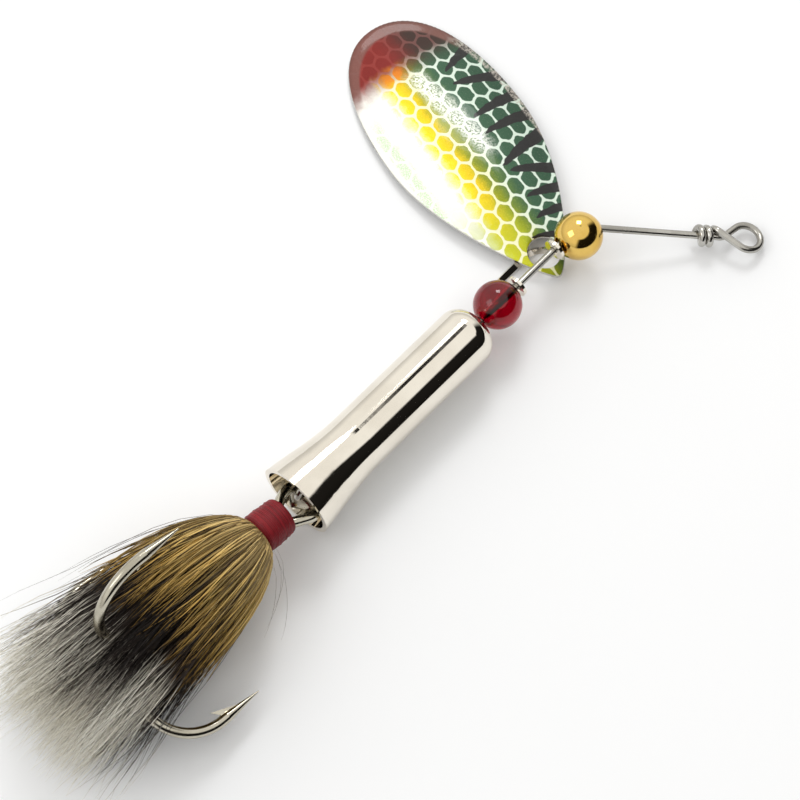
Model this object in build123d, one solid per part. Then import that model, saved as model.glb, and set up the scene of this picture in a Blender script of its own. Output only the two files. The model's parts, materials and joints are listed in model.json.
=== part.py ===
from build123d import *
import os
from math import asin, atan, cos, degrees, radians, sin, sqrt

# Inline spinner, lying on a flat surface. Millimetres, +Z up.
# While it is built, the straight shaft runs along X at y = 0, the red glass bead is centred on
# x = 0, the line eye is forward (+X), the blade lies to the left (+Y) and z = 0 is the surface
# that the spinner lies on. The finished parts are moved so that the origin is the middle of the
# footprint.

# ---- driving dimensions ----
SHAFT_Z = 5.75              # height of the straight shaft above the surface
WIRE_D = 0.9                # spring-steel shaft wire
BEAD_D = 6.0                # both beads

# shaft wire, front part
BEND_X = 14.6               # where the shaft line and the front line cross
FRONT_YAW = -45.0           # front wire, degrees from +X towards +Y
FRONT_PITCH = -12.0         # front wire, degrees up
FRONT_LEN = 17.0            # bend point to the front of the wraps
BEND_R = 1.5
EYE_R = 1.85                # centre line of the round end of the line eye
EYE_REACH = 4.45            # front of the wraps to the centre of the round end
EYE_CROSS = 1.5             # front of the wraps to where the two arms cross
EYE_CLIMB = (0, 0.05, 0.2, 0.45, 0.78)   # the returning arm rises over the first one
WRAP_PITCH = 0.95
WRAP_R = 0.95               # centre line of the wraps
WRAP_START = 0.35
FRONT_TURNS = 2.5
REAR_TURNS = 1.5

# shaft wire, rear loop
LOOP_X = -32.65             # centre of the round end
LOOP_R = 1.65
LOOP_REACH = 4.3            # front of its wraps to the centre of the round end

# front bead, hollow brass over the bend
FRONT_BEAD_AT = (13.8, -0.8, SHAFT_Z - 0.25)
FRONT_BEAD_YAW = -19.8      # line through its two holes, degrees from +X
FRONT_BEAD_PITCH = -5.8
FRONT_BEAD_WALL = 0.7
FRONT_BEAD_HOLE = 1.6

# glass bead
GLASS_BORE = 1.05

# clevis, a strap stirrup
CLEVIS_REAR_X = 3.25
CLEVIS_FRONT_X = 10.5
CLEVIS_DROP = 55.0          # degrees below the horizontal, towards +Y
CLEVIS_DEPTH = 6.5          # shaft line to the outside of the strap's crown
STRAP_T = 0.4
STRAP_W = 0.75
STRAP_CORNER = 1.7
EAR_R = 1.4
EAR_HOLE = 1.1

# blade
BLADE_T = 0.5
BLADE_HOLE_R = 2.1
BLADE_HOLE_AT = (10.83, 1.91, 1.6)   # centre of the hole, middle of the sheet
BLADE_YAW = 75.5            # long axis, degrees from +X towards +Y
BLADE_TILT = 1.2            # the free end lies lower
BLADE_END = 39.1            # hole centre to the free end
BLADE_TIP = 3.5             # hole centre to the tip beside it
BLADE_CROWN = 18.3          # hole centre to the highest point
BLADE_LONG_R = 110.0        # crown of the sheet along the blade
BLADE_CROSS_R = 28.0        # crown of the sheet across the blade
BLADE_WIDEST = (20.0, 9.7)  # hole centre to the widest place, half width there
BLADE_PULLS = (1.4, 9.0, 31.0, 6.5)   # how full the outline is on the way to and from there

# bell body and its core
BELL_FRONT = -3.55
BELL_REAR = -34.9
BELL_R = 3.75
BELL_RIM_R = 4.95
BELL_FLARE = 10.5           # length of the flare
BELL_NOSE_R = 2.4
BELL_NOSE_WALL = 1.4
BELL_WALL = 0.6
BELL_BORE = 1.1
CORE_REAR = -26.4

# treble hook; its own frame has x rearward along the shank, y to the right, z up
TREBLE_EYE_AT = (-34.6, -0.6, SHAFT_Z + 0.6)
TREBLE_SWING = 3.2          # degrees towards +Y
TREBLE_RISE = 7.5           # degrees up towards the bends
TREBLE_ROLL = 6.3           # degrees; the upper hook leans towards +Y
HOOK_D = 1.3
EYE_RING_R = 2.36           # centre line of the ring
EYE_NECK = 4.2              # ring centre to where the two limbs meet the shank
HOOK_REACH = 14.0           # shank axis to the spear
HOOK_BEND_X = 23.4          # ring centre to the start of the bends
SPEAR_LEN = 4.8
SPEAR_TIP_R = 0.06
BARB_T = 0.35
BARB = [(-2.6, -0.1), (1.4, -1.6), (0.2, -0.26)]   # tip end, free tip and root, from the spear's root
SPEAR_ROOT = 0.6            # straight wire between the spear and the bend
NECK_R = 2.5                # where each limb of the eye turns into its shank
HOOK_ANGLES = (-30.0, 90.0, 210.0)
THIRD_SHANK_X = 5.2
BRAZE_R = 0.95
SEAM = 0.03                 # room between a shank and what is packed round it
BRAZE_X = (7.2, 21.0)

# whipping thread
THREAD_X = (2.8, 7.0)
THREAD_R = (2.25, 2.45)
THREAD_SWELL = 0.12
THREAD_SLOT = (4.06, 1.42)  # opening at the front, round the two limbs
THREAD_BORE = 1.45          # room for the three shanks

# hair bunches: distance along the shank, centre from the axis, half thickness, half width
BUNCH_ANGLES = {"tail_bunch_right": 30.0, "tail_bunch_left": 150.0, "tail_bunch_under": 270.0}
BUNCH_SECTIONS = [
    (7.1, 2.0, 0.45, 0.9),
    (14.0, 3.4, 1.6, 2.0),
    (22.0, 4.4, 2.6, 2.9),
    (29.0, 4.8, 2.9, 3.2),
    (36.0, 4.9, 2.6, 3.0),
    (40.0, 4.9, 1.2, 1.6),
]

JOIN = 0.97                 # keeps a short straight between neighbouring arcs


def wire(points, radii, diameter):
    """A round wire along straight runs joined by tangent arcs."""
    path = FilletPolyline(*[tuple(p) for p in points], radius=radii)
    profile = Plane(origin=path @ 0, z_dir=path % 0) * Circle(diameter / 2)
    return sweep(profile, path=path)


def arc_corners(radius, first, last, count):
    """Corners of straight runs that all touch one circle, from one angle to another (degrees)."""
    step = (last - first) / count
    reach = radius / cos(radians(step / 2))
    angles = [radians(first + step * (i + 0.5)) for i in range(count)]
    return [(reach * cos(a), reach * sin(a)) for a in angles]


def heading(yaw, pitch):
    """Unit vector, degrees from +X towards +Y and degrees up."""
    yaw, pitch = radians(yaw), radians(pitch)
    return Vector(cos(yaw) * cos(pitch), sin(yaw) * cos(pitch), sin(pitch))


def closed_eye(frame, radius, reach, turns):
    """Corners and arc radii of a wire eye with its wraps: the wire comes in along the frame's
    x axis, turns round a loop in the frame's xy plane while it climbs, comes back over itself
    and is wrapped rearward round the axis."""
    spread = degrees(asin(radius / (reach - EYE_CROSS)))
    ring = arc_corners(radius, 90 + spread, -90 - spread, len(EYE_CLIMB))
    points = [(EYE_CROSS, 0, 0)]
    points += [(reach + x, y, z) for (x, y), z in zip(ring, EYE_CLIMB)]
    radii = [BEND_R] + [radius * JOIN] * len(ring)
    corners = round(6 * turns)
    wrap_reach = WRAP_R / cos(radians(30))
    for i in range(corners):
        turn = radians(60 - 60 * i)
        points.append((WRAP_START - WRAP_PITCH * i / 6, wrap_reach * cos(turn), wrap_reach * sin(turn)))
    radii += [WRAP_R * JOIN] * (corners - 1)
    return [frame.from_local_coords(Vector(*p)) for p in points], radii


def shaft_wire():
    """The whole wire: line eye, front length, bend, shaft and rear loop."""
    ahead = heading(FRONT_YAW, FRONT_PITCH)
    bend = Vector(BEND_X, 0, SHAFT_Z)
    side = heading(FRONT_YAW + 90, 0)
    eye_frame = Plane(origin=bend + ahead * FRONT_LEN, x_dir=ahead, z_dir=ahead.cross(side))
    loop_frame = Plane(origin=(LOOP_X + LOOP_REACH, 0, SHAFT_Z), x_dir=(-1, 0, 0), z_dir=(0, 1, 0))
    eye, eye_radii = closed_eye(eye_frame, EYE_R, EYE_REACH, FRONT_TURNS)
    loop, loop_radii = closed_eye(loop_frame, LOOP_R, LOOP_REACH, REAR_TURNS)
    return wire(loop[::-1] + [bend] + eye, loop_radii[::-1] + [BEND_R] + eye_radii, WIRE_D)


def front_bead():
    """Hollow brass ball; the bend of the wire sits inside it."""
    radius = BEAD_D / 2
    ball = Sphere(radius) - Sphere(radius - FRONT_BEAD_WALL)
    ball -= Cylinder(FRONT_BEAD_HOLE / 2, BEAD_D * 1.5)
    return Plane(origin=FRONT_BEAD_AT, z_dir=heading(FRONT_BEAD_YAW, FRONT_BEAD_PITCH)).location * ball


def glass_bead():
    """Clear red glass ball with a straight bore."""
    ball = Sphere(BEAD_D / 2) - Rotation(0, 90, 0) * Cylinder(GLASS_BORE / 2, BEAD_D * 1.5)
    return Location((0, 0, SHAFT_Z)) * ball


def clevis():
    """Strap bent to a square-shouldered stirrup, with a round drilled ear at each end."""
    drop = radians(CLEVIS_DROP)
    down = Vector(0, cos(drop), -sin(drop))
    across = Vector(0, sin(drop), cos(drop))
    middle = (CLEVIS_REAR_X + CLEVIS_FRONT_X) / 2
    span = CLEVIS_FRONT_X - CLEVIS_REAR_X
    frame = Plane(origin=(middle, 0, SHAFT_Z), x_dir=(1, 0, 0), z_dir=across)
    sign = 1 if frame.y_dir.dot(down) > 0 else -1
    outer = Pos(0, sign * CLEVIS_DEPTH / 2) * Rectangle(span, CLEVIS_DEPTH)
    crown = outer.vertices().sort_by(Axis.Y)
    outer = fillet(crown[-2:] if sign > 0 else crown[:2], STRAP_CORNER)
    inner_depth = CLEVIS_DEPTH - STRAP_T
    inner = Pos(0, sign * inner_depth / 2) * Rectangle(span - 2 * STRAP_T, inner_depth)
    crown = inner.vertices().sort_by(Axis.Y)
    inner = fillet(crown[-2:] if sign > 0 else crown[:2], STRAP_CORNER - STRAP_T)
    strap = frame.location * extrude(outer - inner, STRAP_W / 2, both=True)
    for x in (CLEVIS_REAR_X + STRAP_T / 2, CLEVIS_FRONT_X - STRAP_T / 2):
        turned = Location((x, 0, SHAFT_Z), (0, 90, 0))
        strap += turned * Cylinder(EAR_R, STRAP_T)
    bore = Location((middle, 0, SHAFT_Z), (0, 90, 0)) * Cylinder(EAR_HOLE / 2, span * 2)
    return strap - bore


def blade_outline():
    """Oval outline: hole centre at the origin, long axis along x, narrow at the hole."""
    tip_pull, near_pull, far_pull, end_pull = BLADE_PULLS
    half = BLADE_WIDEST[1]
    near = Bezier((-BLADE_TIP, 0), (-BLADE_TIP, tip_pull), (near_pull, half), BLADE_WIDEST)
    far = Bezier(BLADE_WIDEST, (far_pull, half), (BLADE_END, end_pull), (BLADE_END, 0))
    upper = [near, far]
    return make_face(upper + [mirror(edge, about=Plane.XZ) for edge in upper])


def blade_place():
    """Frame of the blade: origin at the hole centre, x along the blade, z out of its top."""
    yaw, tilt = radians(BLADE_YAW), radians(BLADE_TILT)
    along = (cos(yaw) * cos(tilt), sin(yaw) * cos(tilt), -sin(tilt))
    out = (cos(yaw) * sin(tilt), sin(yaw) * sin(tilt), cos(tilt))
    return Plane(origin=BLADE_HOLE_AT, x_dir=along, z_dir=out)


def blade():
    """Pressed sheet, crowned along and across: part of a ring of round section."""
    sheet = Circle(BLADE_CROSS_R) - Circle(BLADE_CROSS_R - BLADE_T)
    sheet = sheet & Pos(0, BLADE_CROSS_R) * Rectangle(2.4 * BLADE_WIDEST[1], BLADE_CROSS_R)
    section = Plane(origin=(0, 0, -BLADE_CROSS_R), x_dir=(0, 1, 0), z_dir=(1, 0, 0)) * sheet
    half_turn = degrees(atan(1.3 * BLADE_CROWN / BLADE_LONG_R))
    hub = Axis((0, 0, -BLADE_LONG_R), (0, 1, 0))
    ring = revolve(section.rotate(hub, -half_turn), hub, 2 * half_turn)
    hole_drop = BLADE_CROWN**2 / (2 * BLADE_LONG_R) + BLADE_T / 2
    ring = Pos(BLADE_CROWN, 0, hole_drop) * ring
    body = ring & Pos(0, 0, -5) * extrude(blade_outline(), 10)
    body -= Cylinder(BLADE_HOLE_R, 10)
    return blade_place().location * body


def bell_profile(radius, rim, front, nose):
    """Half section from the front to the rear: straight, then a flare that ends steeper."""
    flare_from = BELL_REAR + BELL_FLARE
    flare = Spline((flare_from, radius), (BELL_REAR, rim), tangents=[(-1, 0), (-1, 0.1)])
    top = Line((front - nose, radius), (flare_from, radius))
    if nose:
        start = RadiusArc((front, radius - nose), (front - nose, radius), -nose)
        return Line((front, 0), (front, radius - nose)) + start + top + flare
    return Line((front, 0), (front, radius)) + top + flare


def bell_solid(radius, rim, front, nose):
    """The profile turned about the shaft, closed by a flat rear face."""
    edges = bell_profile(radius, rim, front, nose)
    close = Line((BELL_REAR, rim), (BELL_REAR, 0)) + Line((BELL_REAR, 0), (front, 0))
    half = make_face(edges.edges() + close.edges())
    upright = Plane(origin=(0, 0, SHAFT_Z), x_dir=(1, 0, 0), z_dir=(0, -1, 0))
    return revolve(upright.location * half, Axis((0, 0, SHAFT_Z), (1, 0, 0)), 360)


def body_shell():
    """Plated bell: a tube closed at the nose, flaring to an open mouth."""
    outside = bell_solid(BELL_R, BELL_RIM_R, BELL_FRONT, BELL_NOSE_R)
    inside = bell_solid(BELL_R - BELL_WALL, BELL_RIM_R - BELL_WALL, BELL_FRONT - BELL_NOSE_WALL, 0)
    bore = Location((BELL_FRONT, 0, SHAFT_Z), (0, 90, 0)) * Cylinder(BELL_BORE / 2, 4 * BELL_NOSE_WALL)
    return outside - inside - bore


def body_core():
    """Brass weight that fills the straight part of the bell, bored for the shaft."""
    front = BELL_FRONT - BELL_NOSE_WALL
    length = front - CORE_REAR
    middle = Location(((front + CORE_REAR) / 2, 0, SHAFT_Z), (0, 90, 0))
    core = Cylinder(BELL_R - BELL_WALL, length) - Cylinder(BELL_BORE / 2, length * 2)
    fit = bell_solid(BELL_R - BELL_WALL, BELL_RIM_R - BELL_WALL, front, 0)
    return (middle * core) & fit


def treble_place():
    """Frame of the treble: origin at the ring centre, x rearward along the shank, z up."""
    swing, rise, roll = radians(TREBLE_SWING), radians(TREBLE_RISE), radians(TREBLE_ROLL)
    along = Vector(-cos(swing) * cos(rise), sin(swing) * cos(rise), sin(rise))
    level = Vector(-sin(swing), -cos(swing), 0)
    up = along.cross(level) * cos(roll) - level * sin(roll)
    return Plane(origin=TREBLE_EYE_AT, x_dir=along, z_dir=up)


def hook_points(angle):
    """Spear root and the two corners of the bend, and the shank's place beside the axis."""
    out = Vector(0, cos(radians(angle)), sin(radians(angle)))
    shank = HOOK_D / sqrt(3)
    far = HOOK_BEND_X + (HOOK_REACH - shank) / 2
    root = Vector(HOOK_BEND_X - SPEAR_ROOT, 0, 0) + out * HOOK_REACH
    end = Vector(far, 0, 0)
    return [root, end + out * HOOK_REACH, end + out * shank], out * shank


def spear(angle):
    """Ground point with its barb on the inner side."""
    out = Vector(0, cos(radians(angle)), sin(radians(angle)))
    root = hook_points(angle)[0][0]
    cone = Plane(origin=root, z_dir=(-1, 0, 0)) * Cone(
        HOOK_D / 2, SPEAR_TIP_R, SPEAR_LEN, align=(Align.CENTER, Align.CENTER, Align.MIN))
    barb_frame = Plane(origin=root, x_dir=(1, 0, 0), z_dir=Vector(1, 0, 0).cross(out))
    tongue = Polygon(*BARB, align=None)
    return cone + barb_frame.location * extrude(tongue, BARB_T / 2, both=True)


def bend_radius():
    """Radius of a hook's bend."""
    return (HOOK_REACH - HOOK_D / sqrt(3)) / 2 * JOIN


def double_hook_wire(diameter):
    """The one wire that makes the eye, two shanks and two bends."""
    right, right_shank = hook_points(HOOK_ANGLES[0])
    left, _ = hook_points(HOOK_ANGLES[2])
    level = right_shank.Z
    half = right_shank.Y
    neck = sqrt(EYE_NECK**2 + half**2)
    slope = degrees(asin(EYE_RING_R / neck) - asin(half / neck))
    ring = arc_corners(EYE_RING_R, 90 - slope, 270 + slope, 4)
    points = right + [Vector(EYE_NECK, half, level)]
    points += [Vector(x, y, level) for x, y in ring]
    points += [Vector(EYE_NECK, -half, level)] + left[::-1]
    bends = [bend_radius()] * 2
    radii = bends + [NECK_R] + [EYE_RING_R * JOIN] * 4 + [NECK_R] + bends
    return wire(points, radii, diameter)


def third_hook_wire(diameter):
    """The single shank and bend that lie on top of the double hook's shanks."""
    points, shank = hook_points(HOOK_ANGLES[1])
    points = points + [Vector(THIRD_SHANK_X, 0, 0) + shank]
    return wire(points, [bend_radius()] * 2, diameter)


def treble_double_hook():
    """Two hooks and the eye, with their points."""
    return double_hook_wire(HOOK_D) + spear(HOOK_ANGLES[0]) + spear(HOOK_ANGLES[2])


def treble_third_hook():
    """The brazed hook with its point."""
    return third_hook_wire(HOOK_D) + spear(HOOK_ANGLES[1])


def tube(radius, ends):
    """A round bar along the treble's axis."""
    length = ends[1] - ends[0]
    return Location(((ends[0] + ends[1]) / 2, 0, 0), (0, 90, 0)) * Cylinder(radius, length)


def treble_braze():
    """Braze metal in the three grooves between the shanks."""
    rod = tube(BRAZE_R, BRAZE_X)
    for angle in HOOK_ANGLES:
        shank = Vector(0, cos(radians(angle)), sin(radians(angle))) * (HOOK_D / sqrt(3))
        rod -= Location(shank) * tube(HOOK_D / 2 + SEAM, (BRAZE_X[0] - 1, BRAZE_X[1] + 1))
    grooves = rod.solids().sort_by(SortBy.VOLUME)[-len(HOOK_ANGLES):]
    return Compound(children=grooves)


def thread_wrap():
    """Barrel of whipping thread round the limbs of the eye and the shanks."""
    front, rear = THREAD_X
    swell = ((front + rear) / 2, sum(THREAD_R) / 2 + THREAD_SWELL)
    edge = ThreePointArc((front, THREAD_R[0]), swell, (rear, THREAD_R[1]))
    sides = Polyline((rear, THREAD_R[1]), (rear, 0), (front, 0), (front, THREAD_R[0]))
    barrel = revolve(make_face([edge] + sides.edges()), Axis.X, 360)
    level = -HOOK_D / sqrt(3) / 2
    slot = Plane(origin=(front, 0, level), x_dir=(0, 1, 0), z_dir=(1, 0, 0))
    bore = Plane(origin=(THIRD_SHANK_X, 0, 0), x_dir=(0, 1, 0), z_dir=(1, 0, 0))
    taper = loft([slot * SlotOverall(*THREAD_SLOT), bore * Circle(THREAD_BORE)])
    return barrel - taper - tube(THREAD_BORE, (THIRD_SHANK_X, rear + 1))


def hair_bunch(angle):
    """One tied bunch of hair as a plain closed form between two hooks."""
    out = Vector(0, cos(radians(angle)), sin(radians(angle)))
    sections = []
    for x, centre, thick, width in BUNCH_SECTIONS:
        frame = Plane(origin=Vector(x, 0, 0) + out * centre, x_dir=out, z_dir=(1, 0, 0))
        sections.append(frame * Ellipse(thick, width))
    return loft(sections)


def build_parts():
    """All nodes in the building frame, by name."""
    treble = treble_place().location
    parts = {
        "shaft_wire": shaft_wire(),
        "front_bead": front_bead(),
        "clevis": clevis(),
        "blade": blade(),
        "glass_bead": glass_bead(),
        "body_shell": body_shell(),
        "body_core": body_core(),
        "treble_double_hook": treble * treble_double_hook(),
        "treble_third_hook": treble * treble_third_hook(),
        "treble_braze": treble * treble_braze(),
        "thread_wrap": treble * thread_wrap(),
    }
    for name, angle in BUNCH_ANGLES.items():
        parts[name] = treble * hair_bunch(angle)
    return parts


def footprint_shift(parts):
    """Move that puts the middle of the underside of the whole box at the origin."""
    boxes = [part.bounding_box() for part in parts.values()]
    low = [min(getattr(box.min, axis) for box in boxes) for axis in "XYZ"]
    high = [max(getattr(box.max, axis) for box in boxes) for axis in "XYZ"]
    return Vector(-(low[0] + high[0]) / 2, -(low[1] + high[1]) / 2, -low[2])


PARTS = build_parts()
SHIFT = footprint_shift(PARTS)

os.makedirs("parts", exist_ok=True)
for name, shape in PARTS.items():
    export_step(Location(SHIFT) * shape, f"parts/{name}.step")
print("shift", tuple(round(v, 4) for v in SHIFT))
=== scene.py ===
import json
from math import cos, pi, radians, sin

import bpy
import numpy as np
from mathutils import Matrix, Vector


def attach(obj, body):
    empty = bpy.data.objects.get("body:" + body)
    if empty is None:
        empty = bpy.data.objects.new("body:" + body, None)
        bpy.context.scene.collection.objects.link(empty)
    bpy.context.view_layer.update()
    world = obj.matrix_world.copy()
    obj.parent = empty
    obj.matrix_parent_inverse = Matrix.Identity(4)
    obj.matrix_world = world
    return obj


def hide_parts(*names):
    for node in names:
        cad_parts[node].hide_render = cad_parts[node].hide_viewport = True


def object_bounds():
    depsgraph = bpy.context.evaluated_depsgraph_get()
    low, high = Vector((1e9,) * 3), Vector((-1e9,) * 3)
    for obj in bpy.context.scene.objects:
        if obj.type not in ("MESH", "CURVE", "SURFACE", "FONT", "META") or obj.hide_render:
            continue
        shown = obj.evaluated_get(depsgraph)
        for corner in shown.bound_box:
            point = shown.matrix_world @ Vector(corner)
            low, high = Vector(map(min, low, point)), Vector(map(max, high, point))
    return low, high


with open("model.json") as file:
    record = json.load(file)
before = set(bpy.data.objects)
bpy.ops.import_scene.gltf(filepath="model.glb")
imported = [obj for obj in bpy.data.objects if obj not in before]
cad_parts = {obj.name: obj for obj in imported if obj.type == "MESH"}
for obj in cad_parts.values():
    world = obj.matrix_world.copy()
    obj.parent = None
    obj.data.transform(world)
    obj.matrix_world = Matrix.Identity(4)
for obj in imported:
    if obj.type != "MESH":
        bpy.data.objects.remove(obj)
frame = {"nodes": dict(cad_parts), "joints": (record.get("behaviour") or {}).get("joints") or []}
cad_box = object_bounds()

MM = 0.001

# ---- where things are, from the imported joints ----
JOINTS = {joint["name"]: joint for joint in frame["joints"]}


def joint_point(name):
    """Place of a joint in millimetres, as an array."""
    return np.array(JOINTS[name]["pos_m"], float) / MM


BEAD_RADIUS = 3.0
GLASS_AT = joint_point("glass_bead_spin")
BRASS_AT = joint_point("front_bead_spin")
BRASS_AXIS = np.array(JOINTS["front_bead_spin"]["axis"], float)
BLADE_AT = joint_point("blade_flap")
TREBLE_AT = joint_point("treble_swing")
TREBLE_UP = np.array(JOINTS["treble_swing"]["axis"], float)
FLOOR_Z = float(cad_box[0][2]) / MM

# blade, as it is pressed
BLADE_YAW = radians(75.5)
BLADE_TILT = radians(1.2)
BLADE_THICK = 0.5
BLADE_HOLE = 2.1
BLADE_END = 39.1
BLADE_TIP = 3.5
BLADE_CROWN = 18.3
BLADE_LONG_R = 110.0
BLADE_CROSS_R = 28.0
BLADE_WIDEST = (20.0, 9.7)
BLADE_RIM_RISE = 0.17           # how steeply the outer band is bent back up
BLADE_PULLS = (1.4, 9.0, 31.0, 6.5)
UV_SPAN = (44.0, 22.0)          # millimetres of sheet over the whole of the blade's UV map
UV_FROM = (-4.0, -11.0)


# ---------------------------------------------------------------- surfaces
def unit(vector):
    """The vector divided by its length."""
    vector = np.asarray(vector, float)
    return vector / np.linalg.norm(vector, axis=-1, keepdims=True)


def make_piece(name, points, quads, uv=None, material_of=None, triangles=None):
    """A mesh object from an array of points in millimetres and arrays of faces."""
    faces = quads.tolist() + (triangles.tolist() if triangles is not None else [])
    mesh = bpy.data.meshes.new(name)
    mesh.from_pydata((np.asarray(points) * MM).tolist(), [], faces)
    if uv is not None:
        corners = np.zeros(len(mesh.loops), np.int32)
        mesh.loops.foreach_get("vertex_index", corners)
        layer = mesh.uv_layers.new(name="UVMap")
        layer.data.foreach_set("uv", np.asarray(uv, np.float32)[corners].ravel())
    if material_of is not None:
        mesh.polygons.foreach_set("material_index", np.asarray(material_of, np.int32))
    mesh.polygons.foreach_set("use_smooth", np.ones(len(mesh.polygons), bool))
    mesh.update()
    piece = bpy.data.objects.new(name, mesh)
    bpy.context.scene.collection.objects.link(piece)
    return piece


def grid_quads(rows, columns, close_rows=False, close_columns=False):
    """Faces of a grid whose point (r, c) is number r * columns + c, closed in either direction."""
    r = np.arange(rows if close_rows else rows - 1)[:, None]
    c = np.arange(columns if close_columns else columns - 1)[None, :]
    r2 = (r + 1) % rows
    c2 = (c + 1) % columns
    corners = [r * columns + c, r * columns + c2, r2 * columns + c2, r2 * columns + c]
    return np.stack([np.broadcast_to(k, (r.size, c.size)) for k in corners], -1).reshape(-1, 4)


def turned_ring(name, centre, axis, profile, around):
    """A closed profile of (distance along the axis, radius) carried once round the axis: point =
    centre + axis * along + radius * (cos a * side + sin a * other side)."""
    axis = unit(axis)
    side = unit(np.cross(axis, (0.3, 0.1, 1.0)))
    other = np.cross(axis, side)
    angle = np.linspace(0, 2 * pi, around, endpoint=False)
    spoke = np.cos(angle)[:, None] * side + np.sin(angle)[:, None] * other
    profile = np.asarray(profile)
    points = centre + profile[None, :, :1] * axis + profile[None, :, 1:] * spoke[:, None, :]
    return make_piece(name, points.reshape(-1, 3), grid_quads(around, len(profile), True, True))


def bored_ball(radius, hole, lip, inner=None, steps=72):
    """Closed half section of a ball with a straight bore, as (radius sin a, radius cos a) for the
    outer arc, a quarter round as lip at each hole, and the wall of the bore or, in a hollow ball,
    the arc of the hollow."""
    reach = np.arccos((hole + lip) / radius)
    arc = np.linspace(-reach, reach, steps)
    outer = np.stack([radius * np.sin(arc), radius * np.cos(arc)], 1)
    turn = np.linspace(0, pi / 2, 7)[1:]
    front = outer[-1, 0]
    lip_front = np.stack([front - lip * (1 - np.cos(turn)), hole + lip * (1 - np.sin(turn))], 1)
    if inner:
        inner_reach = np.arccos(hole / inner)
        back = np.linspace(inner_reach, -inner_reach, steps // 2)
        wall = np.stack([inner * np.sin(back), inner * np.cos(back)], 1)
    else:
        along = np.linspace(lip_front[-1, 0], -lip_front[-1, 0], 12)[1:-1]
        wall = np.stack([along, np.full(len(along), hole)], 1)
    lip_rear = lip_front[::-1] * (-1, 1)
    return np.concatenate([outer, lip_front, wall, lip_rear])[::-1]


# ---------------------------------------------------------------- blade
def cubic(a, b, c, d, t):
    """Cubic curve through a and d pulled by b and c: the sum of the four points weighted by
    (1-t)^3, 3t(1-t)^2, 3t^2(1-t) and t^3."""
    t = t[:, None]
    a, b, c, d = (np.array(p, float) for p in (a, b, c, d))
    return a * (1 - t) ** 3 + 3 * b * t * (1 - t) ** 2 + 3 * c * t ** 2 * (1 - t) + d * t ** 3


def blade_outline(count):
    """Points round the oval, evenly spaced along it."""
    tip_pull, near_pull, far_pull, end_pull = BLADE_PULLS
    half = BLADE_WIDEST[1]
    t = np.linspace(0, 1, 400)
    near = cubic((-BLADE_TIP, 0), (-BLADE_TIP, tip_pull), (near_pull, half), BLADE_WIDEST, t)
    far = cubic(BLADE_WIDEST, (far_pull, half), (BLADE_END, end_pull), (BLADE_END, 0), t)
    upper = np.concatenate([near, far[1:]])
    loop = np.concatenate([upper, upper[-2:0:-1] * (1, -1), upper[:1]])
    length = np.concatenate([[0], np.cumsum(np.linalg.norm(np.diff(loop, axis=0), axis=1))])
    wanted = np.linspace(0, length[-1], count, endpoint=False)
    return np.stack([np.interp(wanted, length, loop[:, k]) for k in range(2)], 1)


def blade_height(x, y, depth, inset):
    """Height of the pressed sheet over its frame: a ring of round section, crown radius
    BLADE_LONG_R along and BLADE_CROSS_R across, with the outer band bent back up to be flatter.
    inset is the distance in from the outline."""
    section = np.sqrt((BLADE_CROSS_R - depth) ** 2 - y ** 2) - BLADE_CROSS_R
    height = np.sqrt((BLADE_LONG_R + section) ** 2 - (x - BLADE_CROWN) ** 2) - BLADE_LONG_R
    band = 0.7 + 1.1 * np.clip((x - 20) / 14, 0, 1)
    soft = 0.16
    past = soft * np.logaddexp(0, (band - inset) / soft)
    return height + BLADE_CROWN ** 2 / (2 * BLADE_LONG_R) + BLADE_THICK / 2 + BLADE_RIM_RISE * past


def blade_piece(name):
    """The sheet between the hole and the outline: point = hole point * (1 - r) + outline point * r
    for r from 0 to 1, on the upper and the lower face, joined by a rounded edge."""
    around, across = 320, 96
    outline = blade_outline(around)
    hole = unit(outline) * BLADE_HOLE
    share = np.linspace(0, 1, across) ** 0.9
    flat = hole[:, None] * (1 - share[None, :, None]) + outline[:, None] * share[None, :, None]
    inset = np.min(np.linalg.norm(flat[:, :, None] - outline[None, None, ::2], axis=-1), axis=-1)
    x, y = flat[..., 0], flat[..., 1]
    top = np.dstack([x, y, blade_height(x, y, 0, inset)])
    under = np.dstack([x, y, blade_height(x, y, BLADE_THICK, inset)])
    middle_out = (top[:, -1:] + under[:, -1:]) / 2
    middle_in = (top[:, :1] + under[:, :1]) / 2
    bulge = 0.1
    outward = np.zeros_like(middle_out)
    outward[:, 0, :2] = unit(outline - (BLADE_CROWN, 0)) * bulge
    inward = np.zeros_like(middle_in)
    inward[:, 0, :2] = -unit(outline) * bulge
    top[:, -1, 2] -= bulge * 0.6
    top[:, 0, 2] -= bulge * 0.6
    ring = np.concatenate([top, middle_out + outward, under[:, ::-1], middle_in + inward], 1)
    columns = ring.shape[1]
    quads = grid_quads(around, columns, True, True)
    column = np.tile(np.arange(columns), around)
    bare = (column >= across - 1).astype(np.int32)
    yaw_x, yaw_y, level, tilt = cos(BLADE_YAW), sin(BLADE_YAW), cos(BLADE_TILT), sin(BLADE_TILT)
    along = np.array([yaw_x * level, yaw_y * level, -tilt])
    out = np.array([yaw_x * tilt, yaw_y * tilt, level])
    left = np.cross(out, along)
    flat_ring = ring.reshape(-1, 3)
    points = BLADE_AT + flat_ring[:, :1] * along + flat_ring[:, 1:2] * left + flat_ring[:, 2:] * out
    uv = (flat_ring[:, :2] - UV_FROM) / UV_SPAN
    return make_piece(name, points, quads[:, ::-1], uv=uv, material_of=bare)


# ---------------------------------------------------------------- treble dressing
def treble_frame():
    """Directions rearward along the shank, to the right, and up."""
    swing, rise = radians(3.2), radians(7.5)
    along = np.array([-cos(swing) * cos(rise), sin(swing) * cos(rise), sin(rise)])
    up = unit(TREBLE_UP)
    return along, unit(np.cross(up, along)), up


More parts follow.
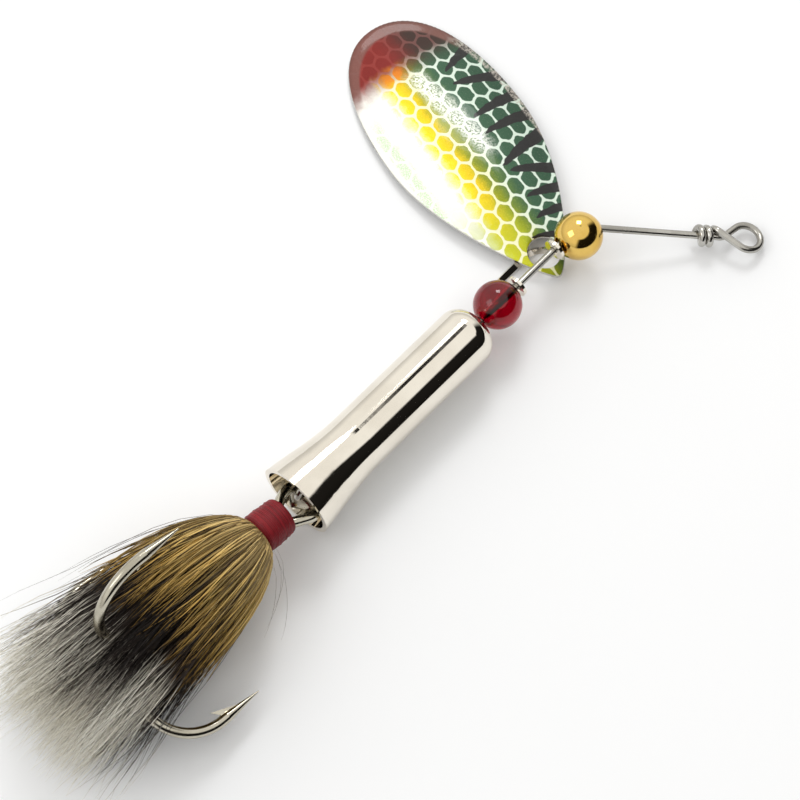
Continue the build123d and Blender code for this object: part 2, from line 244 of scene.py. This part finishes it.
def whipping(name):
    """Barrel of thread round the shanks: radius = barrel + thread * sqrt(1 - (2f - 1)^2), where f
    is the part of a turn left over from distance / pitch - angle / full turn. Each turn lies a
    little higher or lower, three slanting turns cross over the rest, and both ends are rounded."""
    front, rear, pitch, thread = 2.75, 7.05, 0.19, 0.055
    along, right, up = treble_frame()
    rng = np.random.default_rng(7)
    around, steps = 144, 330
    x = np.linspace(front, rear, steps)
    angle = np.linspace(0, 2 * pi, around, endpoint=False)
    X, A = np.meshgrid(x, angle)
    wander = (0.5 * np.sin(2 * A + 1.3 * X) + 0.35 * np.sin(3 * A - 2.1 * X + 1)
              + 0.2 * np.sin(5 * A + 4 * X))
    phase = (X + 0.05 * wander) / pitch - A / (2 * pi)
    f = phase % 1.0
    turn = np.floor(phase).astype(int)
    lay = rng.uniform(-0.03, 0.05, 400)[turn % 400]
    share = (X - front) / (rear - front)
    barrel = 2.18 + 0.2 * share + 0.16 * np.sin(pi * share) ** 0.7 + 0.03 * wander
    slant = (X / 1.7 + A / (2 * pi) * 3) % 1.0
    over = 0.05 * np.exp(-((slant - 0.5) / 0.045) ** 2)
    radius = barrel + lay + thread * np.sqrt(np.clip(1 - (2 * f - 1) ** 2, 0, 1)) + over
    end = np.minimum(X - front, rear - X)
    radius = radius - 0.35 * np.clip(1 - end / 0.35, 0, 1) ** 2
    points = (TREBLE_AT + X[..., None] * along
              + radius[..., None] * (np.cos(A)[..., None] * right + np.sin(A)[..., None] * up))
    points = points.reshape(-1, 3)
    quads = grid_quads(around, steps, True, False)
    poles = np.array([TREBLE_AT + front * along, TREBLE_AT + rear * along])
    first = len(points)
    ring = np.arange(around) * steps
    following = np.roll(ring, -1)
    cap_front = np.stack([np.full(around, first), ring, following], 1)
    cap_rear = np.stack([np.full(around, first + 1), following + steps - 1, ring + steps - 1], 1)
    points = np.concatenate([points, poles])
    uv = np.zeros((len(points), 2))
    uv[:first, 0] = (X.ravel() - front) / (rear - front)
    uv[:first, 1] = A.ravel() / (2 * pi)
    caps = np.concatenate([cap_front, cap_rear])[:, ::-1]
    return make_piece(name, points, quads[:, ::-1], uv=uv, triangles=caps)


HAIR_FROM = 6.3            # distance of the roots along the shank, under the thread
HAIR_SCALE = 45.0          # millimetres of hair over the whole of a strand's UV height
HAIR_DROOP = 4.4           # how far the hair has fallen at HAIR_DROOP_AT from its root
HAIR_DROOP_AT = 34.0
ROOT_RADIUS = 1.1          # of the bundle under the thread
BUNDLE_FLATNESS = 0.86     # height of the bundle over its width


def bundle_radius(distance):
    """How far the outside of the bundle stands from its middle line."""
    return 2.0 + 4.5 * (1 - np.exp(-distance / 4.2)) + 0.075 * distance


def hair_piece(name, seed, count, length, shell, width, locks, loose, stray=0.0, together=0.3,
               spread=0.30):
    """Many tapered three-sided strands. The middle of a strand at distance d from its root is
    d along the shank, plus its own share of the bundle's radius along its own angle, less a fall
    that grows with the square of d, plus a sideways wave and a pull towards its lock. The floor
    pushes it up: height = floor + soft * log(1 + e^((height - floor) / soft)).

    length is the shortest and the longest strand, shell the least and the greatest share of the
    radius, locks how many locks there are, loose how far they wander, stray how far single
    strands do, together how much of a strand's tone is its lock's, and spread a lock's width in
    radians."""
    rng = np.random.default_rng(seed)
    along, right, up = treble_frame()
    knots = 10                  # rings of three corners along a strand
    lock = rng.integers(0, locks, count)
    lock_angle = rng.uniform(0, 2 * pi, locks)
    lock_side = rng.normal(0, 1, (locks, 2))
    lock_tone = rng.uniform(0, 1, locks)
    angle = lock_angle[lock] + rng.normal(0, spread, count)
    depth = np.sqrt(rng.uniform(shell[0] ** 2, shell[1] ** 2, count))
    reach = rng.uniform(length[0], length[1], count) + rng.normal(0, 0.6, locks)[lock]
    t = np.linspace(0, 1, knots)[None, :]
    d = t * reach[:, None]
    own = 0.35 + 0.65 * depth[:, None]
    opened = np.clip(d / 1.2, 0, 1) ** 0.5
    radius = ROOT_RADIUS + (bundle_radius(d) - ROOT_RADIUS) * depth[:, None] * opened
    radius = np.where(d < 0.7, np.minimum(radius, 2.3), radius) * own ** 0.15
    grow = (d / 20.0) ** 1.5
    wave = rng.uniform(0, 2 * pi, (count, 1))
    own_side = 0.45
    curl = 0.5
    side_a = loose * grow * (lock_side[lock, :1] + own_side * rng.normal(0, 1, (count, 1))
                             + curl * np.sin(d / 3.5 + wave))
    side_b = loose * grow * (lock_side[lock, 1:] + own_side * rng.normal(0, 1, (count, 1))
                             + curl * np.cos(d / 4.1 + wave))
    far = (d / 20) ** 1.3
    a = radius * np.cos(angle)[:, None] + side_a + stray * rng.normal(0, 1, (count, 1)) * far
    b = (radius * np.sin(angle)[:, None] * BUNDLE_FLATNESS + side_b
         + stray * rng.normal(0, 0.6, (count, 1)) * far)
    middle = TREBLE_AT + (HAIR_FROM + d[..., None]) * along
    middle = middle + a[..., None] * right + b[..., None] * up
    middle[..., 2] -= HAIR_DROOP * (d / HAIR_DROOP_AT) ** 2
    soft = 0.35
    lift = FLOOR_Z + 0.12
    middle[..., 2] = lift + soft * np.logaddexp(0, (middle[..., 2] - lift) / soft)
    taper = np.interp(t, [0, 0.3, 0.7, 1], [0.8, 1, 0.75, 0.12])
    thick = width * rng.uniform(0.75, 1.2, (count, 1)) * taper
    spin = rng.uniform(0, 2 * pi, (count, 1, 1))
    corner = spin + np.arange(3)[None, None, :] * 2 * pi / 3
    section = np.cos(corner)[..., None] * right + np.sin(corner)[..., None] * up
    points = middle[:, :, None, :] + thick[:, :, None, None] / 2 * section
    ring = grid_quads(knots, 3, False, True)
    start = np.arange(count)[:, None, None] * knots * 3
    quads = (ring[None] + start).reshape(-1, 4)
    caps = np.array([[2, 1, 0], [knots * 3 - 3, knots * 3 - 2, knots * 3 - 1]])
    triangles = (caps[None] + start).reshape(-1, 3)
    tone = np.clip((1 - together) * rng.uniform(0, 1, count) + together * lock_tone[lock], 0, 1)
    u = np.broadcast_to(tone[:, None, None], points.shape[:3])
    v = np.broadcast_to((d / HAIR_SCALE)[:, :, None], points.shape[:3])
    uv = np.stack([u, v], -1).reshape(-1, 2)
    return make_piece(name, points.reshape(-1, 3), quads, uv=uv, triangles=triangles)


# ---------------------------------------------------------------- materials
def srgb(red, green, blue):
    """Linear colour of an 8-bit screen colour."""
    channel = np.array([red, green, blue]) / 255
    linear = np.where(channel <= 0.04045, channel / 12.92, ((channel + 0.055) / 1.055) ** 2.4)
    return (*linear.tolist(), 1.0)


class Value:
    """A number socket in a finish, with the arithmetic that its nodes do."""

    def __init__(self, finish, socket):
        self.finish = finish
        self.socket = socket

    def math(self, operation, *inputs):
        return self.finish.node("ShaderNodeMath", {"operation": operation}, dict(enumerate(inputs)))

    def __add__(self, other):
        return self.math("ADD", self, other)

    __radd__ = __add__

    def __sub__(self, other):
        return self.math("SUBTRACT", self, other)

    def __rsub__(self, other):
        return self.math("SUBTRACT", other, self)

    def __mul__(self, other):
        return self.math("MULTIPLY", self, other)

    __rmul__ = __mul__

    def __truediv__(self, other):
        return self.math("DIVIDE", self, other)

    def __pow__(self, other):
        return self.math("POWER", self, other)

    def __abs__(self):
        return self.math("ABSOLUTE", self)

    def __lt__(self, other):
        return self.math("LESS_THAN", self, other)

    def above(self, other):
        return self.math("MAXIMUM", self, other)

    def below(self, other):
        return self.math("MINIMUM", self, other)

    def root(self):
        return self.math("SQRT", self)

    def fold(self, period):
        """Signed distance from the nearest whole multiple of the period."""
        turns = self / period + 0.5
        return (self.math("FRACT", turns) - 0.5) * period

    def ease(self, low, high):
        """0 up to low, 1 from high on, smooth between."""
        return self.finish.node("ShaderNodeMapRange", {"interpolation_type": "SMOOTHSTEP"},
                                {0: self, 1: low, 2: high, 3: 0.0, 4: 1.0})


class Finish:
    """The nodes of one material, or of the room; they are added as the expressions ask for them."""

    def __init__(self, name, room=None):
        self.holder = room or bpy.data.materials.new(name)
        self.holder.use_nodes = True
        self.tree = self.holder.node_tree
        self.tree.nodes.clear()

    def node(self, kind, settings=None, inputs=None, output=0):
        """Adds one node: its settings first, then the values or links of its sockets."""
        new = self.tree.nodes.new(kind)
        for key, value in (settings or {}).items():
            if key == "stops":
                ramp = new.color_ramp
                while len(ramp.elements) < len(value):
                    ramp.elements.new(0.5)
                for element, (place, colour) in zip(ramp.elements, value):
                    element.position = place
                    element.color = colour
            else:
                setattr(new, key, value)
        for key, value in (inputs or {}).items():
            if isinstance(value, Value):
                self.tree.links.new(value.socket, new.inputs[key])
            else:
                new.inputs[key].default_value = value
        return Value(self, new.outputs[output])

    def mix(self, share, first, second):
        """Colour between two colours."""
        return self.node("ShaderNodeMix", {"data_type": "RGBA"},
                         {0: share, 6: first, 7: second}, output=2)

    def ramp(self, value, stops):
        """Colour from a number, by stops of (place, colour)."""
        return self.node("ShaderNodeValToRGB", {"stops": stops}, {0: value})

    def place(self):
        """Object coordinates, in metres."""
        return self.node("ShaderNodeTexCoord", output="Object")

    def split(self, vector):
        """The three numbers of a vector."""
        new = self.tree.nodes.new("ShaderNodeSeparateXYZ")
        self.tree.links.new(vector.socket, new.inputs[0])
        return [Value(self, new.outputs[k]) for k in range(3)]

    def uv(self):
        """The piece's own UV map, as two numbers."""
        first, second, _ = self.split(self.node("ShaderNodeUVMap", {"uv_map": "UVMap"}))
        return first, second

    def join(self, x, y, z=0.0):
        """A vector from three numbers."""
        return self.node("ShaderNodeCombineXYZ", inputs={0: x, 1: y, 2: z})

    def noise(self, vector, scale, detail=2.0, rough=0.5):
        """Cloudy pattern from 0 to 1."""
        return self.node("ShaderNodeTexNoise", inputs={
            "Vector": vector, "Scale": scale, "Detail": detail, "Roughness": rough})

    def bump(self, height, strength, distance):
        """Normal from a height."""
        return self.node("ShaderNodeBump", inputs={
            "Strength": strength, "Distance": distance, "Height": height})

    def surface(self, **sockets):
        """The shader itself; a name's underscores stand for spaces."""
        shader = self.node("ShaderNodeBsdfPrincipled",
                           inputs={key.replace("_", " "): value for key, value in sockets.items()})
        out = self.tree.nodes.new("ShaderNodeOutputMaterial")
        self.tree.links.new(shader.socket, out.inputs["Surface"])
        return self.holder


def metal_finish(name, light, dark, rough, grain, ripple, grain_scale=1800.0):
    """Plated or drawn metal: cloudy tarnish, fine grain in the roughness, a slight ripple."""
    finish = Finish(name)
    place = finish.place()
    cloud = finish.noise(place, 160.0, 3.0).ease(0.38, 0.68)
    fine = finish.noise(place, grain_scale, 3.0, 0.6)
    colour = finish.mix(cloud * 0.6 + fine * 0.4, light, dark)
    roughness = rough + grain * (fine + cloud - 0.8).above(0.0)
    normal = finish.bump(fine + finish.noise(place, 420.0), ripple, 0.00004)
    return finish.surface(Base_Color=colour, Metallic=1.0, Roughness=roughness, Normal=normal)


# stripes over the back of the blade: where it starts at the edge (along, across), where it ends
# (along, across), and half its width at the edge
STRIPES = [
    ((30.3, -8.6), (28.1, -3.6), 0.92),
    ((24.3, -9.6), (25.9, -3.3), 0.98),
    ((21.0, -9.6), (20.2, -2.8), 0.95),
    ((17.6, -9.6), (17.5, -2.6), 0.95),
    ((14.4, -9.2), (12.4, -2.0), 1.05),
    ((9.2, -7.6), (11.4, -2.4), 0.98),
    ((6.7, -6.4), (7.3, -2.2), 0.80),
    ((4.0, -5.4), (4.3, -1.6), 0.70),
    ((0.7, -3.8), (2.3, 0.3), 0.66),
]
NET_PITCH = 2.08            # from cell to cell across the blade
NET_STRETCH = 1.345         # cells are longer along the blade
NET_AT = (28.59, 2.35)      # one cell's centre


def fish_scale_net(x, y):
    """1 in a cell and 0 on the line round it: the larger of the distances from the cell's centre
    towards its six neighbours, softened by the plain distance so that the corners are round."""
    wide = NET_PITCH * 3 ** 0.5
    qx = (x - NET_AT[0]) / NET_STRETCH
    qy = y - NET_AT[1]
    ax, ay = qx.fold(wide), qy.fold(NET_PITCH)
    bx, by = (qx - wide / 2).fold(wide), (qy - NET_PITCH / 2).fold(NET_PITCH)
    near = (ax * ax + ay * ay) < (bx * bx + by * by)
    dx = bx + near * (ax - bx)
    dy = by + near * (ay - by)
    across, up = abs(dx), abs(dy)
    hexagon = up.above(across * (3 ** 0.5 / 2) + up * 0.5)
    rounded = hexagon.above((dx * dx + dy * dy).root() * 0.94)
    half = NET_PITCH / 2
    return 1.0 - rounded.ease(half - 0.185, half - 0.105)


def stripe_mask(x, y):
    """1 inside any stripe: a bar between its two ends, bowed a little and tapering to its tip."""
    total = None
    for (x_edge, y_edge), (x_tip, y_tip), half in STRIPES:
        share = (y - y_tip) / (y_edge - y_tip)
        inside = share.above(0.0)
        middle = x_tip + (x_edge - x_tip) * inside + 0.7 * inside * (1.0 - inside)
        gap = half * (inside ** 0.45) - abs(x - middle)
        total = gap if total is None else total.above(gap)
    return total.ease(0.0, 0.1)


def blade_paint():
    """Airbrushed perch pattern on bright metal: dark green back, yellow flank, white belly, red
    end, a pale net of scales, black stripes, a painted sheen, and clear lacquer."""
    finish = Finish("blade_paint")
    u, v = finish.uv()
    x = u * UV_SPAN[0] + UV_FROM[0]
    y = v * UV_SPAN[1] + UV_FROM[1]
    plane = finish.join(x, y)
    drift = finish.noise(plane, 0.9, 2.0) - 0.5
    grit = finish.noise(plane, 5.5, 3.0, 0.7)
    flake = finish.noise(plane, 2.6, 4.0, 0.75)
    xn = x + drift * 0.30
    yn = y + (finish.noise(plane, 1.1, 1.0) - 0.5) * 0.30
    cell = fish_scale_net(xn, yn)
    zone = (y + drift * 1.3 + (grit - 0.5) * 1.6 + 10.0) / 20.0
    cells = finish.ramp(zone, [
        (0.00, srgb(38, 74, 54)), (0.38, srgb(50, 88, 62)), (0.47, srgb(82, 112, 48)),
        (0.545, srgb(142, 148, 22)), (0.61, srgb(226, 196, 4)), (0.675, srgb(246, 222, 26)),
        (0.725, srgb(250, 247, 176)), (0.765, srgb(253, 253, 244)), (1.00, srgb(252, 253, 250))])
    lines = finish.ramp(zone, [
        (0.00, srgb(206, 226, 212)), (0.42, srgb(222, 236, 222)), (0.55, srgb(246, 246, 196)),
        (0.68, srgb(250, 248, 210)), (0.74, srgb(253, 253, 246))])
    root = 1.0 - (x + drift * 2.0).ease(2.0, 12.0)
    rooty = root * zone.ease(0.42, 0.60)
    cells = finish.mix(rooty * 0.75, cells, srgb(176, 190, 30))
    low = (y + drift).ease(7.0, 7.9) * (1.0 - (y + drift).ease(8.6, 9.3))
    low = low * (1.0 - x.ease(24.0, 29.0))
    cells = finish.mix(low * grit.ease(0.35, 0.65) * 0.8, cells, srgb(178, 222, 150))
    end = (x + drift * 1.5 + (y + 2.0) * 0.06).ease(29.2, 33.4)
    back = 1.0 - zone.ease(0.34, 0.60)
    end_cells = finish.mix(back, srgb(126, 26, 18), srgb(54, 34, 26))
    end_lines = finish.mix(back, srgb(142, 38, 28), srgb(104, 62, 56))
    amber = end * (1.0 - end) * 4.0 * zone.ease(0.5, 0.58) * (1.0 - zone.ease(0.66, 0.76))
    cells = finish.mix(amber * 0.7, finish.mix(end, cells, end_cells), srgb(232, 120, 16))
    lines = finish.mix(end, lines, end_lines)
    colour = finish.mix(cell, lines, cells)
    stripe = stripe_mask(x + drift * 0.5, y + drift * 0.4)
    colour = finish.mix(stripe * (1.0 - end * 0.5), colour, srgb(20, 19, 18))
    specks = (grit - 0.55).above(0.0) * 0.5 * (1.0 - stripe) * (1.0 - end)
    colour = finish.mix(specks, colour, srgb(240, 244, 226))
    # painted highlight along the ridge: white flecks in the colour where the highlight lies
    ridge = abs(y + 0.9 - (x - 22.0) * 0.14 + drift * 1.2)
    painted_highlight = (1.0 - ridge.ease(0.2, 1.9)) * x.ease(13.5, 17.5) * (1.0 - x.ease(28.5, 31.0))
    highlight_flecks = finish.noise(plane, 3.4, 3.0, 0.75).ease(0.43, 0.55)
    painted_highlight = painted_highlight * (0.10 + 0.80 * highlight_flecks) * (1.0 - stripe)
    colour = finish.mix(painted_highlight, colour, srgb(253, 254, 246))
    # the bent rim: a duller band round the red end, and pale flecks down the dark side, which are a
    # painted sheen in the colour
    far_end = BLADE_END - BLADE_WIDEST[0]
    rim = ((x - BLADE_WIDEST[0]).above(0.0) / far_end) ** 2.2 + (abs(y) / BLADE_WIDEST[1]) ** 2.2
    duller_end_band = rim.ease(0.775, 0.83)
    colour = finish.mix(duller_end_band * end * (0.75 + grit * 0.2), colour, srgb(120, 80, 72))
    painted_rim_sheen = rim.ease(0.80, 0.86) * (1.0 - y.ease(-6.0, -4.0)) * x.ease(9.0, 13.0) * (1.0 - end)
    colour = finish.mix(painted_rim_sheen * flake.ease(0.40, 0.60) * 0.85, colour, srgb(196, 188, 178))
    rough = 0.34 + flake * 0.22
    normal = finish.bump(flake + cell * 0.12, 0.6, 0.00008)
    metal = 0.12 + cell * 0.30 - stripe * 0.35
    return finish.surface(Base_Color=colour, Metallic=metal.above(0.0), Roughness=rough,
                          Normal=normal, Coat_Weight=0.30, Coat_Roughness=0.06,
                          Specular_IOR_Level=0.3)


def glass_finish():
    """Clear cranberry glass, its colour swirled a little and its surface faintly rippled."""
    finish = Finish("cranberry_glass")
    place = finish.place()
    swirl = finish.noise(place, 260.0, 2.0)
    colour = finish.mix(swirl, srgb(160, 0, 24), srgb(124, 0, 14))
    normal = finish.bump(finish.noise(place, 380.0), 0.08, 0.00005)
    return finish.surface(Base_Color=colour, Roughness=0.02 + swirl * 0.03, IOR=1.5,
                          Transmission_Weight=1.0, Normal=normal)


def thread_finish():
    """Red whipping thread under varnish: strand to strand tone and fine fibres."""
    finish = Finish("whipping_thread")
    along, around = finish.uv()
    strands = finish.noise(finish.join(along * 46.0, around * 1.5), 1.0, 2.0)
    fibre = finish.noise(finish.join(along * 160.0, around * 60.0), 1.0, 3.0, 0.7)
    colour = finish.ramp(strands * 0.6 + fibre * 0.4, [
        (0.30, srgb(62, 4, 10)), (0.50, srgb(122, 12, 24)),
        (0.64, srgb(160, 26, 38)), (0.78, srgb(200, 74, 80))])
    return finish.surface(Base_Color=colour, Roughness=0.42 + fibre * 0.25, Coat_Weight=0.12,
                          Coat_Roughness=0.3, Specular_IOR_Level=0.3,
                          Normal=finish.bump(fibre, 0.5, 0.00004))


def hair_finish(name, bands, shift):
    """Banded animal hair. Each band is (distance from the thread, low colour, high colour); a
    strand's own tone picks between the two and shifts the bands along it."""
    finish = Finish(name)
    tone, along = finish.uv()
    shifted = along + (tone - 0.5) * shift
    low = finish.ramp(shifted, [(place / HAIR_SCALE, dark) for place, dark, _ in bands])
    high = finish.ramp(shifted, [(place / HAIR_SCALE, light) for place, _, light in bands])
    speck = finish.noise(finish.join(tone * 90.0, along * 14.0), 1.0, 2.0)
    colour = finish.mix((tone * 1.1 + speck * 0.5 - 0.3).above(0.0).below(1.0), low, high)
    return finish.surface(Base_Color=colour, Roughness=0.45 + speck * 0.2, Specular_IOR_Level=0.25,
                          Normal=finish.bump(speck, 0.2, 0.00002))


steel = metal_finish("drawn_steel", srgb(196, 194, 188), srgb(150, 147, 140), 0.16, 0.22, 0.10)
nickel = metal_finish("bright_nickel", srgb(240, 234, 222), srgb(226, 219, 206), 0.05, 0.05, 0.06,
                      900.0)
hook_metal = metal_finish("plated_hook_wire", srgb(206, 201, 186), srgb(164, 158, 142),
                          0.12, 0.15, 0.08)
brass = metal_finish("polished_brass", srgb(232, 198, 112), srgb(212, 170, 78), 0.09, 0.12, 0.06)
core_brass = metal_finish("turned_brass", srgb(190, 150, 80), srgb(150, 112, 52), 0.28, 0.2, 0.15)
bare_sheet = metal_finish("bare_blade_metal", srgb(214, 212, 206), srgb(180, 178, 172),
                          0.14, 0.18, 0.08)
paint = blade_paint()
glass = glass_finish()
thread = thread_finish()
gold_hair = hair_finish("golden_guard_hair", [
    (0.0, srgb(112, 88, 50), srgb(232, 204, 142)), (4.0, srgb(78, 58, 32), srgb(244, 214, 146)),
    (11.0, srgb(54, 39, 22), srgb(240, 204, 122)), (17.0, srgb(36, 26, 15), srgb(220, 178, 94)),
    (22.5, srgb(22, 15, 10), srgb(150, 116, 60))], 0.12)
long_hair = hair_finish("banded_tail_hair", [
    (0.0, srgb(60, 46, 26), srgb(150, 118, 68)), (10.0, srgb(34, 24, 15), srgb(100, 76, 42)),
    (15.0, srgb(16, 11, 9), srgb(48, 36, 26)), (23.0, srgb(20, 14, 11), srgb(60, 48, 40)),
    (26.0, srgb(54, 44, 38), srgb(222, 216, 202)), (31.0, srgb(196, 188, 168), srgb(252, 249, 238)),
    (38.0, srgb(226, 222, 204), srgb(254, 253, 246))], 0.22)
stray_hair = hair_finish("stray_hair", [
    (0.0, srgb(40, 34, 28), srgb(110, 98, 80)), (20.0, srgb(16, 14, 13), srgb(70, 62, 56))], 0.1)


# ---------------------------------------------------------------- pieces
def carry(node, material):
    """A CAD node that keeps its shape and takes a finish."""
    for holder in frame["nodes"][node].material_slots:
        holder.material = material


def finish_piece(piece, body, slot, materials, *nodes):
    """Gives a new piece its materials and its body, and hides the CAD nodes that it stands for;
    slot is not used.
    """
    for material in materials:
        piece.data.materials.append(material)
    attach(piece, body)
    if nodes:
        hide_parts(*nodes)


carry("shaft_wire", steel)
carry("clevis", nickel)
carry("body_shell", nickel)
carry("body_core", core_brass)
carry("treble_double_hook", hook_metal)
carry("treble_third_hook", hook_metal)
carry("treble_braze", core_brass)

brass_ball = turned_ring("brass_bead", BRASS_AT, BRASS_AXIS,
                         bored_ball(BEAD_RADIUS, 0.8, 0.12, inner=2.3), 128)
finish_piece(brass_ball, "front_bead", "front_bead", [brass], "front_bead")
glass_ball = turned_ring("cranberry_bead", GLASS_AT, (1, 0, 0),
                         bored_ball(BEAD_RADIUS, 0.525, 0.15), 128)
finish_piece(glass_ball, "glass_bead", "glass_bead", [glass], "glass_bead")
blade = blade_piece("painted_blade")
finish_piece(blade, "blade", "blade", [paint, bare_sheet], "blade")
wrap = whipping("red_whipping")
finish_piece(wrap, "treble", "thread_wrap", [thread], "thread_wrap")

# name, seed, count, shortest and longest, share of the radius, width, lay, finish, stands for
CLUMPED = {"together": 0.9, "spread": 0.12, "loose": 1.05}
TAIL = [
    ("tail_hair_long_a", 11, 2500, (27.0, 36.5), (0.05, 0.85), 0.13,
     {"locks": 54, **CLUMPED}, long_hair, ["tail_bunch_under"]),
    ("tail_hair_long_b", 12, 2500, (22.0, 35.0), (0.35, 0.92), 0.12,
     {"locks": 60, **CLUMPED}, long_hair, ["tail_bunch_left"]),
    ("tail_hair_guard", 13, 2100, (8.5, 21.5), (0.80, 1.03), 0.21,
     {"locks": 160, "loose": 0.95, "together": 0.25}, gold_hair, ["tail_bunch_right"]),
    ("tail_hair_guard_tips", 16, 420, (9.0, 22.0), (0.98, 1.08), 0.22,
     {"locks": 150, "loose": 1.25, "together": 0.1}, gold_hair, []),
    ("tail_hair_stray", 14, 80, (20.0, 30.0), (0.85, 1.12), 0.075,
     {"locks": 60, "loose": 1.0, "stray": 1.5}, stray_hair, []),
    ("tail_hair_flyaway", 15, 6, (5.0, 9.0), (1.2, 1.9), 0.05,
     {"locks": 9, "loose": 0.2}, stray_hair, []),
]
for hair_name, seed, count, length, shell, width, lay, hair, bunches in TAIL:
    strands = hair_piece(hair_name, seed, count, length, shell, width, **lay)
    finish_piece(strands, "treble", "tail_hair", [hair], *bunches)


# ---------------------------------------------------------------- floor, light and camera
def add_floor():
    """A wide pale sheet that the spinner lies on."""
    half = 1.6
    ground = np.array([[-half, -half, 0], [half, -half, 0], [half, half, 0], [-half, half, 0]]) / MM
    ground[:, 2] = FLOOR_Z
    floor = make_piece("floor", ground, np.array([[0, 1, 2, 3]]))
    finish = Finish("floor_paper")
    place = finish.place()
    tone = finish.noise(place, 30.0)
    colour = finish.mix(tone, (0.95, 0.962, 0.985, 1.0), (0.965, 0.977, 1.0, 1.0))
    paper = finish.surface(Base_Color=colour, Roughness=0.9, Specular_IOR_Level=0.1)
    floor.data.materials.append(paper)


def add_light(name, azimuth, elevation, size, power, distance=0.55):
    """A soft box that faces the middle of the spinner."""
    data = bpy.data.lights.new(name, "AREA")
    data.shape = "RECTANGLE"
    data.size, data.size_y = size
    data.energy = power
    lamp = bpy.data.objects.new(name, data)
    azimuth, elevation = radians(azimuth), radians(elevation)
    way = Vector((sin(azimuth) * cos(elevation), -cos(azimuth) * cos(elevation), sin(elevation)))
    lamp.location = way * distance
    lamp.rotation_euler = way.to_track_quat("Z", "Y").to_euler()
    bpy.context.scene.collection.objects.link(lamp)


def add_world():
    """Pale room, dark low down in front, where the open side of the light tent is, and with a
    narrow dark gap overhead, which the bell mirrors as a thin line."""
    bpy.context.scene.world = bpy.data.worlds.new("room")
    room = Finish("room", bpy.context.scene.world)
    way = room.node("ShaderNodeTexCoord", output="Generated")
    x, y, z = room.split(way)
    low = z.ease(-0.03, 0.02) * (1.0 - z.ease(0.66, 0.74))
    front = (x * 0.25 - y).ease(0.15, 0.45)
    gap_across = y.ease(0.08, 0.10) * (1.0 - y.ease(0.20, 0.22)) * z.ease(0.5, 0.6)
    gap_along = x.ease(0.284, 0.290) * (1.0 - x.ease(0.338, 0.345))
    dark = (low * front).above(gap_across * gap_along)
    colour = room.mix(dark, (1.0, 0.985, 0.95, 1.0), (0.012, 0.011, 0.010, 1.0))
    strength = 0.72 + 0.31 * z.ease(0.05, 0.45)
    glow = room.node("ShaderNodeBackground", inputs={"Color": colour, "Strength": strength})
    out = room.tree.nodes.new("ShaderNodeOutputWorld")
    room.tree.links.new(glow.socket, out.inputs["Surface"])


def add_camera():
    """Camera at the wanted angle, aimed at a point beside the glass bead."""
    azimuth, elevation, distance = radians(-46.85), radians(65.52), 0.320
    way = Vector((sin(azimuth) * cos(elevation), -cos(azimuth) * cos(elevation), sin(elevation)))
    target = Vector((GLASS_AT + (-16.3, 0.82, -2.75)) * MM)
    data = bpy.data.cameras.new("camera")
    data.lens = 120.5
    data.sensor_width = 36.0
    data.clip_start = 0.01
    camera = bpy.data.objects.new("camera", data)
    camera.location = target + way * distance
    camera.rotation_euler = way.to_track_quat("Z", "Y").to_euler()
    bpy.context.scene.collection.objects.link(camera)
    bpy.context.scene.camera = camera


add_floor()
add_world()
add_light("key_box", 129, 51, (0.15, 0.15), 0.60)
add_light("fill_box", -120, 50, (0.25, 0.25), 0.35)
add_camera()
bpy.context.scene.view_settings.view_transform = "Standard"
